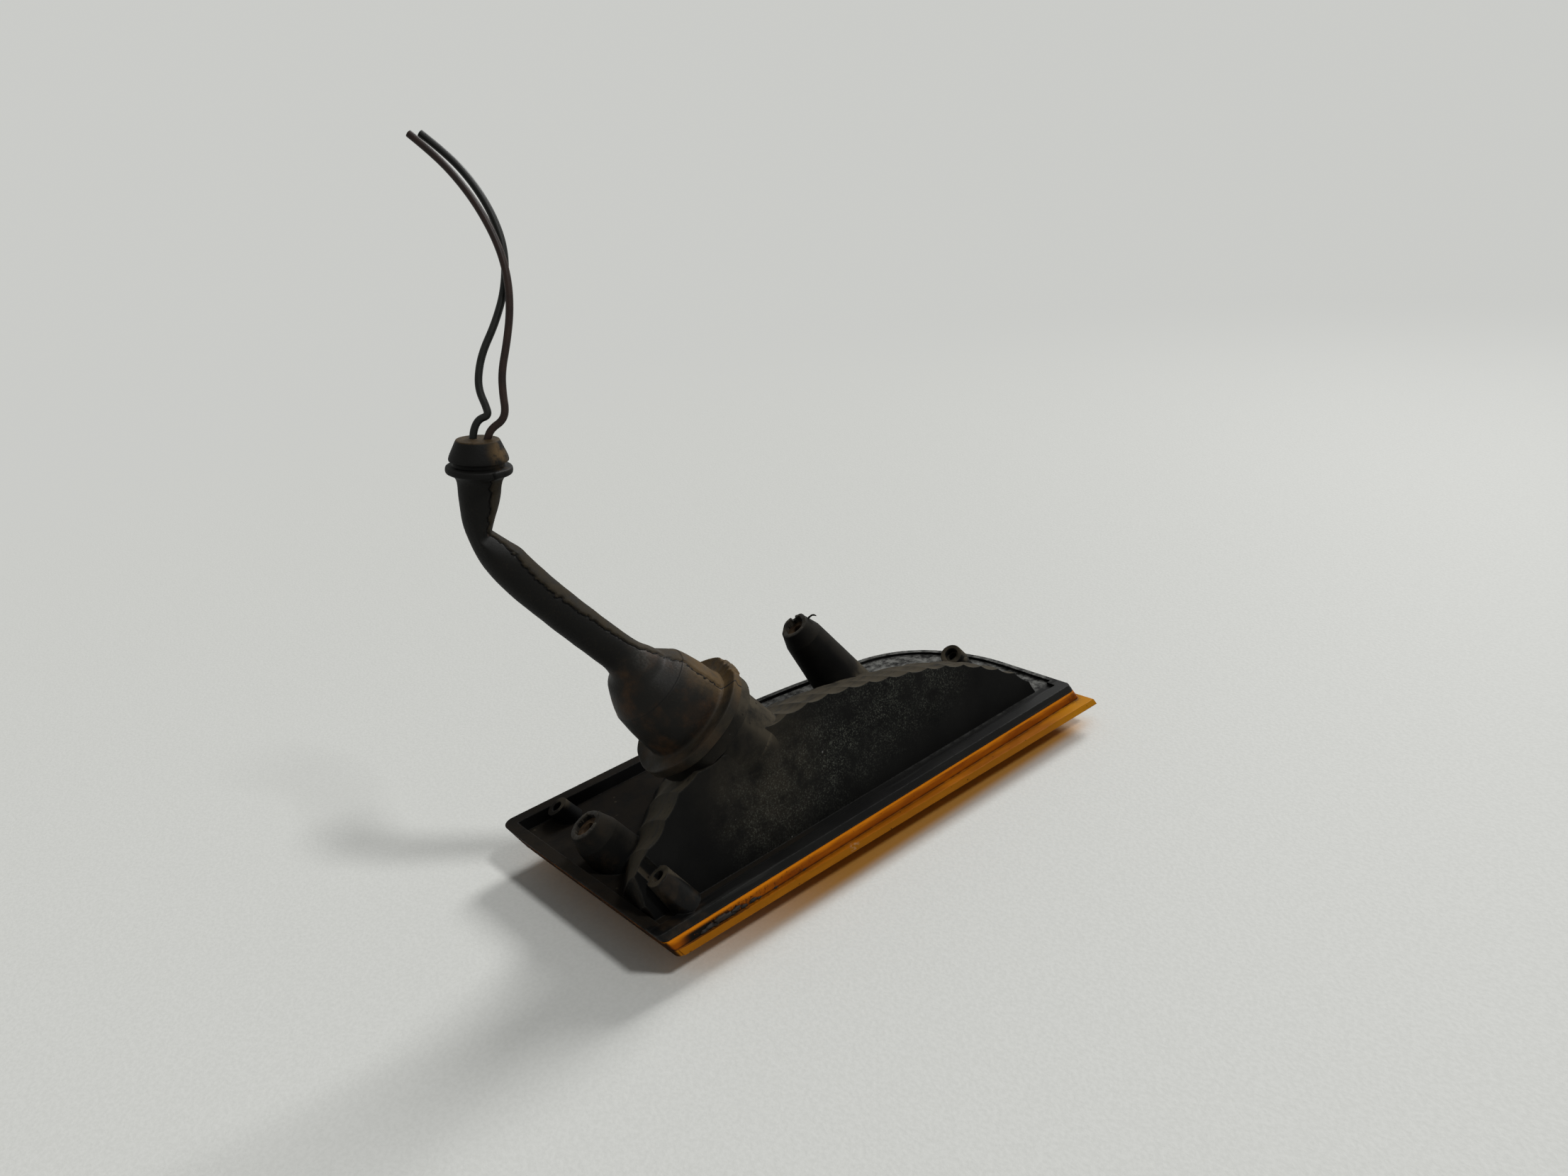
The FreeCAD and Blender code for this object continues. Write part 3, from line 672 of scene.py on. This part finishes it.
def housingFinish():
    look = housingLook
    finish, shader, place = newFinish("dustyHousing", look["gloss"])
    facing = facingOf(place)
    up = facing.axis("Z")
    front = 0 - facing.axis("Y")
    along = place.axis("X")
    depth = place.axis("Y")
    height = place.axis("Z")
    cloud = place.grain(24, 5)
    blotch = place.grain(7, 5, 0.6)
    fine = place.grain(1.1, 5, 0.7)
    soft, edge = softEdges(place, facing, 0.5)
    strip = depth.rise(*look["stripDepth"])
    flat = front.rise(0.88, 0.96) * (1 - strip)
    colour = blendOf(place, cloud.rise(0.35, 0.68), look["dark"], look["mid"])
    belt = place.beside(*look["belt"], 3, 25)
    grit = place.grain(0.55, 3, 0.6)
    spray = fine.rise(0.42, 0.72) * 0.35 + grit.rise(0.52, 0.64) * 0.6
    specks = belt * flat * spray * blotch.rise(0.3, 0.62)
    colour = colour.tint(specks, look["speck"])
    stray = place.dots(9).rise(0.045, 0.03) * flat
    colour = colour.tint(stray * 0.7, look["lime"])
    haze = flat * place.near((46, -38, 16), 8, 34) * blotch.rise(0.2, 0.7)
    colour = colour.tint(haze * 0.3, look["beige"])
    tower = place.beside(*look["towers"][0], 10.5, 13).most(place.beside(*look["towers"][1], 9.5, 11))
    wall = (1 - flat) * (1 - strip) * height.rise(*look["wallFoot"]) * (1 - tower * 0.8)
    dust = wall * (up.rise(0.05, 0.7) * 0.8 + 0.15) * blotch.rise(0.22, 0.6)
    colour = colour.tint(dust, look["beige"])
    pits = wall * place.dots(2.6).rise(0.2, 0.1) * place.grain(4, 3).rise(0.45, 0.6)
    colour = colour.tint(pits, look["dark"])
    rim = height.rise(*look["rimFoot"]) * height.rise(*look["rimTop"]) * up.rise(0.6, 0.9)
    scale = place.grain(3.4, 6, 0.72).rise(0.36, 0.66)
    lime = rim * along.rise(*look["limeEnd"]) * depth.rise(*look["limeDepth"]) * scale
    colour = colour.tint(lime * 0.9, look["lime"])
    rust = place.beside(*look["leftRim"], 4, 26) * blotch.rise(0.45, 0.7) * (1 - flat)
    colour = colour.tint(rust * 0.7, look["brown"])
    tray = along.rise(*look["trayEnd"]) * height.rise(*look["trayTop"]) * up.rise(0.6, 0.9) * (1 - strip)
    colour = colour.tint(tray * (blotch.rise(0.3, 0.6) * 0.7 + 0.3), look["soil"])
    crumbs = tray * place.dots(6).rise(0.12, 0.05) * blotch.rise(0.45, 0.6)
    colour = colour.tint(crumbs * 0.6, look["beige"])
    streak = place.grain(1.5, 4, 0.6, (0.04, 1, 1))
    colour = colour.tint(strip * streak.rise(0.6, 0.72) * 0.35, look["scuffAndHighlight"])
    # edges lightened: partly wear, partly painted highlight
    colour = colour.tint(edge * (fine.rise(0.35, 0.6) * 0.7 + 0.15), look["scuffAndHighlight"])
    plug(shader, "Base Color", colour)
    plug(shader, "Roughness", 0.56 + dust * 0.3 + specks * 0.2 + fine * 0.12 + tray * 0.2 - strip * 0.24)
    plug(shader, "Coat Weight", strip * look["polish"])
    shader.inputs["Coat Roughness"].default_value = 0.3
    relief = fine + dust * 0.6 + lime * 0.8
    plug(shader, "Normal", bumpOf(place, relief, 0.25, 0.25, soft))
    return finish


dustyHousing = housingFinish()
wear("housing", dustyHousing)
for piece in [flashCurl] + fittingPieces:
    piece.data.materials.append(dustyHousing)
print("housing finished")


# Lens: clear amber, dirty along its joint, with painted highlights, painted shade and a painted glow
lensLook = {
    "deep": (0.19, 0.040, 0.0005),
    "bright": (0.62, 0.19, 0.003),
    "gold": (0.17, 0.060, 0.002),
    "rim": (0.26, 0.096, 0.003),
    "yellow": (0.58, 0.25, 0.002),
    "brown": (0.045, 0.013, 0.002),
    "black": (0.006, 0.005, 0.004),
    "haze": (0.40, 0.34, 0.24),
    "gloss": 0.025,
    "clear": 0.06,
    "bend": 1.49,  # refraction of acrylic
    # edges of the zones in metres, from no effect to full effect
    "bandFoot": (-0.0172, -0.0168),
    "bandCrown": (-0.0142, -0.0137),
    "bandShade": (-0.0140, -0.0152),
    "lipFoot": (-0.0198, -0.0192),
    "under": (-0.0192, -0.0198),
    "tip": (0.165, 0.19),
    "jointFoot": (-0.0172, -0.01695),
    "jointTop": (-0.0163, -0.0167),
    "rootDepth": (-0.0549, -0.0541),
    "rootEnd": (0.196, 0.192),
    "seat": (-0.0134, -0.0130),
}


def lensFinish():
    look = lensLook
    finish, shader, place = newFinish("amberLens", look["gloss"])
    facing = facingOf(place)
    height = place.axis("Z")
    along = place.axis("X")
    up = facing.axis("Z")
    soft, edge = softEdges(place, facing, 0.5)
    streak = place.grain(5, 5, 0.6, (0.25, 1, 1.6))
    fine = place.grain(1.3, 4, 0.65)
    blotch = place.grain(4, 5)
    colour = blendOf(place, streak.rise(0.35, 0.75), look["deep"], look["bright"])
    band = height.rise(*look["bandFoot"])
    # painted highlight along the crown of the band, then painted shade along its foot
    colour = colour.tint(band * height.rise(*look["bandCrown"]) * 0.9, look["bright"])
    colour = colour.tint(band * height.rise(*look["bandShade"]) * 0.75, look["deep"])
    ledge = up.rise(0.6, 0.9) * (1 - band)
    colour = colour.tint(ledge * 0.85, look["gold"])
    lip = (1 - band) * (1 - ledge) * height.rise(*look["lipFoot"])
    colour = colour.tint(lip * 0.85, look["rim"])
    # painted highlight on the edges of the ledge and lip
    colour = colour.tint(edge * (ledge + lip) * 0.6, look["bright"])
    # painted glow: the lens below its lip is tinted yellow as if lit through the amber
    below = height.rise(*look["under"])
    colour = colour.tint(below * 0.85, look["yellow"])
    tip = along.rise(*look["tip"])
    colour = colour.tint(tip * (ledge + lip * 0.45) * 0.85, look["yellow"])
    joint = height.rise(*look["jointFoot"]) * height.rise(*look["jointTop"]) * up.rise(0.5, 0.2)
    root = ledge * place.axis("Y").rise(*look["rootDepth"]) * along.rise(*look["rootEnd"])
    dirt = joint.most(root) * (blotch.rise(0.3, 0.6) * 0.5 + 0.45)
    colour = colour.tint(dirt, look["brown"])
    seat = height.rise(*look["seat"])
    colour = colour.tint(seat * 0.9, look["brown"])
    thick = blotch * 0.35 + place.grain(0.9, 5, 0.7) * 0.65 + along.rise(0.032, 0.004) * 0.26
    patch = band * height.rise(-0.0138, -0.0150) * along.rise(0.058, 0.034) * along.rise(-0.006, 0)
    colour = colour.tint(patch * thick.rise(0.5, 0.64) * 0.7, look["brown"])
    grimeAndShade = patch * thick.rise(0.6, 0.68)
    spots = band * (place.dots(3).rise(0.1, 0.05) * along.rise(0.2, 0.02))
    grimeAndShade = grimeAndShade.most(spots * 0.8)
    corner = place.near((192, -50, -17), 2, 7.5) * fine.rise(0.4, 0.58)
    flecks = (ledge + lip) * place.dots(4).rise(0.09, 0.05)
    colour = colour.tint(corner * 0.85, look["brown"])
    grimeAndShade = grimeAndShade.most(flecks * 0.8)
    # sides facing left are painted black: partly dirt, partly painted shade under the housing rim
    left = (0 - facing.axis("X")).rise(0.3, 0.7)
    grimeAndShade = grimeAndShade.most(left * (blotch.rise(0.3, 0.5) * 0.35 + 0.6))
    colour = colour.tint(grimeAndShade, look["black"])
    haze = place.near((66, -57, -17), 1.0, 3) * fine.rise(0.45, 0.6)
    colour = colour.tint(haze * 0.35, look["haze"])
    plug(shader, "Base Color", colour)
    plug(shader, "Roughness", 0.28 + grimeAndShade * 0.5 + streak * 0.15 + haze * 0.3)
    shader.inputs["Transmission Weight"].default_value = look["clear"]
    shader.inputs["IOR"].default_value = look["bend"]
    plug(shader, "Normal", bumpOf(place, fine, 0.12, 0.2, soft))
    return finish


wear("lens", lensFinish())
print("lens finished")


# Rubber of the boot: dark, with brown dust above its parting line and a painted highlight on the crown
bootLook = {
    "dark": (0.0030, 0.0028, 0.0023),
    "mid": (0.0072, 0.0065, 0.0052),
    "dust": (0.029, 0.023, 0.0145),
    "ochre": (0.080, 0.050, 0.021),
    "rust": (0.032, 0.0165, 0.0075),
    "grey": (0.040, 0.039, 0.034),
    "line": (0.0012, 0.0011, 0.0010),
    "gloss": 0.13,
    "shine": (20.8, -17.4, 58.8),  # painted highlight on the crown
    "smear": (-6.5, -3.5, 129.5),  # ochre smear on the nose
}


def bootFinish(tip):
    look = bootLook
    finish, shader, place = newFinish("agedRubber", look["gloss"])
    seam = place.add("ShaderNodeAttribute", {"attribute_name": "seam"}, {}, "Fac")
    along = place.add("ShaderNodeAttribute", {"attribute_name": "along"}, {}, "Fac")
    cloud = place.grain(13, 5)
    blotch = place.grain(4.5, 6, 0.65)
    fine = place.grain(0.8, 5, 0.65)
    bell = along.rise(40, 33)
    head = along.rise(tip - 12, tip - 9)
    colour = blendOf(place, (cloud * 0.6 + bell * 0.4).rise(0.25, 0.75), look["dark"], look["mid"])
    rust = bell * cloud.rise(0.44, 0.62) * (blotch.rise(0.38, 0.62) * 0.75 + 0.25)
    colour = colour.tint(rust, look["rust"])
    pale = fine.rise(0.5, 0.7) * blotch.rise(0.4, 0.7) * (1 - head)
    colour = colour.tint(pale * 0.35, look["dust"])
    upper = seam.rise(-0.1, 0.4) * seam.rise(16, 10) * (1 - head)
    dust = upper * (blotch.rise(0.3, 0.62) * 0.7 + 0.25)
    flange = along.rise(5.5, 3)
    dust = dust.most(flange * (blotch.rise(0.3, 0.7) * 0.5 + 0.2))
    colour = colour.tint(dust, look["dust"])
    ochre = along.rise(26, 11) * seam.rise(-9, 3) * seam.rise(46, 30) * (blotch.rise(0.3, 0.6) * 0.65 + 0.3)
    ochre = ochre.most(place.near(look["smear"], 1.5, 6) * blotch.rise(0.38, 0.6))
    ochre = ochre.most(along.rise(tip - 0.5, tip - 0.05) * (fine.rise(0.3, 0.6) * 0.4 + 0.2))
    colour = colour.tint(head * 0.4, look["line"])
    colour = colour.tint(ochre, look["ochre"])
    # grey scuffs on the bell, and a painted highlight on the crown
    scuffAndHighlight = bell * fine.rise(0.58, 0.72) * blotch.rise(0.5, 0.68) * 0.7
    scuffAndHighlight = scuffAndHighlight.most(place.near(look["shine"], 0.5, 5.5) * fine.rise(0.35, 0.65))
    colour = colour.tint(scuffAndHighlight * 0.6, look["grey"])
    crack = seam.rise(-0.5, -0.2) * seam.rise(0.32, 0.1) * along.rise(113, 111)
    ring = along.rise(20.2, 20.45) * along.rise(20.9, 20.6)
    colour = colour.tint(crack, look["line"])
    colour = colour.tint(ring * 0.6, look["line"])
    plug(shader, "Base Color", colour)
    plug(shader, "Roughness", 0.56 + dust * 0.3 + fine * 0.12 - bell * 0.1)
    plug(shader, "Normal", bumpOf(place, fine + blotch * 0.8, 0.35, 0.3))
    return finish


bootSkin.data.materials.append(bootFinish(bootTip))
print("boot finished")


# The other materials: name, two colours, grain in mm, roughness, metallic
plainLooks = {
    "lens_seal": ("sealBead", (0.004, 0.004, 0.004), (0.010, 0.009, 0.008), 3, 0.6, 0),
    "bulb_holder": ("holderPlastic", (0.03, 0.03, 0.03), (0.05, 0.05, 0.05), 6, 0.5, 0),
    "bulb_sleeve": ("platedSleeve", (0.45, 0.45, 0.43), (0.6, 0.6, 0.58), 4, 0.3, 1),
    "bulb_cap": ("bulbCap", (0.62, 0.5, 0.25), (0.75, 0.62, 0.35), 4, 0.3, 1),
    "bulb_glass": ("bulbGlass", (0.9, 0.92, 0.92), (0.96, 0.97, 0.97), 8, 0.1, 0),
    "bulb_contact": ("solderDome", (0.5, 0.5, 0.5), (0.62, 0.62, 0.6), 2, 0.35, 1),
    "contact_leaf": ("contactBrass", (0.6, 0.45, 0.2), (0.72, 0.56, 0.28), 3, 0.3, 1),
    "fixing_insert_left": ("tarnishedInsert", (0.020, 0.012, 0.007), (0.075, 0.046, 0.024), 2, 0.65, 0.4),
    "tornLip": ("scaledLip", (0.007, 0.0062, 0.0052), (0.034, 0.028, 0.020), 2.5, 0.7, 0),
    "sealantCrumbs": ("oldSealant", (0.004, 0.0035, 0.003), (0.014, 0.009, 0.006), 1.5, 0.6, 0),
    "feedLead": ("blackWire", (0.0035, 0.0040, 0.0032), (0.0090, 0.0096, 0.0078), 4, 0.45, 0),
    "earthLead": ("brownWire", (0.0100, 0.0050, 0.0038), (0.0210, 0.0105, 0.0076), 4, 0.45, 0),
}
plainGloss = 0.2


def plainFinish(name, first, second, grain, rough, metal):
    finish, shader, place = newFinish(name, plainGloss)
    cloud = place.grain(grain, 5)
    plug(shader, "Base Color", blendOf(place, cloud.rise(0.3, 0.7), first, second))
    plug(shader, "Roughness", cloud * 0.2 + (rough - 0.1))
    shader.inputs["Metallic"].default_value = metal
    plug(shader, "Normal", bumpOf(place, place.grain(grain / 6, 3), 0.15, 0.1))
    return finish


plain = {node: plainFinish(*facts) for node, facts in plainLooks.items()}
glassShader = plain["bulb_glass"].node_tree.nodes["Principled BSDF"]
glassShader.inputs["Transmission Weight"].default_value = 1
for node, finish in plain.items():
    if node in frame["nodes"]:
        wear(node, finish)
for node in ("feed_blade", "earth_blade", "feed_receptacle", "earth_receptacle"):
    wear(node, plain["contact_leaf"])
wear("fixing_insert_right", plain["fixing_insert_left"])
feedLead.data.materials.append(plain["feedLead"])
earthLead.data.materials.append(plain["earthLead"])
sealantCrumbs.data.materials.append(plain["sealantCrumbs"])
for lip in tornLips:
    lip.data.materials.append(plain["tornLip"])
print("small parts finished")


# Satin table top with a fine orange peel, and a painted amber glow where the lens throws its light on it
tableLook = {
    "tones": ((0.575, 0.580, 0.555), (0.605, 0.610, 0.585)),
    "peel": 1.3,
    "glow": (0.36, 0.17, 0.012),
    "glowLine": ((4, -50, -28.3), (200, -50, -28.3)),
    "paintedGlowFringe": (0.44, 0.35, 0.27),
    "even": (0.99, 1, 0.965, 1),
    "gloss": 0.12,
    "rough": 0.6,
    # where the glow sets in at its left and right ends, in metres
    "glowLeft": (-0.02, 0.07),
    "glowRight": (0.205, 0.18),
    "around": ((60, 0, -28), 420, 1100),  # lit stretch: its middle, where it starts to fade and its end
}


def seenRays(start):
    seen = start.add("ShaderNodeLightPath", {}, {}, "Is Camera Ray")
    for kind in ("Is Glossy Ray", "Is Transmission Ray"):
        seen = seen.most(start.add("ShaderNodeLightPath", {}, {}, kind))
    return seen


def tableFinish():
    look = tableLook
    finish, shader, place = newFinish("paleTop", look["gloss"])
    tree = finish.node_tree
    peel = place.grain(look["peel"], 2)
    colour = blendOf(place, peel.rise(0.3, 0.7), *look["tones"])
    # painted glow: amber light from the lens painted into the table's colour, with a paler painted fringe
    ends = place.axis("X").rise(*look["glowLeft"]) * place.axis("X").rise(*look["glowRight"])
    colour = colour.tint(place.beside(*look["glowLine"], 7, 14) * ends * 0.5, look["paintedGlowFringe"])
    colour = colour.tint(place.beside(*look["glowLine"], 4, 9.5) * ends * 0.92, look["glow"])
    plug(shader, "Base Color", colour)
    shader.inputs["Roughness"].default_value = look["rough"]
    plug(shader, "Normal", bumpOf(place, peel, 0.3, 0.3))
    # far from the lamp the camera sees an even tone
    far = (1 - place.near(*look["around"])) * seenRays(place)
    inputs = {"Color": look["even"], "Strength": light["backdrop"]}
    even = place.add("ShaderNodeEmission", {}, inputs, "Emission")
    blend = place.add("ShaderNodeMixShader", {}, {0: far, 1: Feed(tree, shader.outputs[0]), 2: even})
    tree.links.new(blend.socket, tree.nodes["Material Output"].inputs["Surface"])
    return finish


def paleRoom():
    room = bpy.data.worlds.new("paleRoom")
    room.use_nodes = True
    tree = room.node_tree
    glow = tree.nodes["Background"]
    glow.inputs["Color"].default_value = light["air"]
    glow.inputs["Strength"].default_value = light["room"]
    start = Feed(tree, glow.outputs[0])
    pale = start.add("ShaderNodeBackground", {}, {"Color": tableLook["even"], "Strength": light["backdrop"]})
    blend = start.add("ShaderNodeMixShader", {}, {0: seenRays(start), 1: start, 2: pale})
    tree.links.new(blend.socket, tree.nodes["World Output"].inputs["Surface"])
    return room


paleTable.data.materials.append(tableFinish())
scene.world = paleRoom()
print("all finishes made")

bpy.context.view_layer.update()
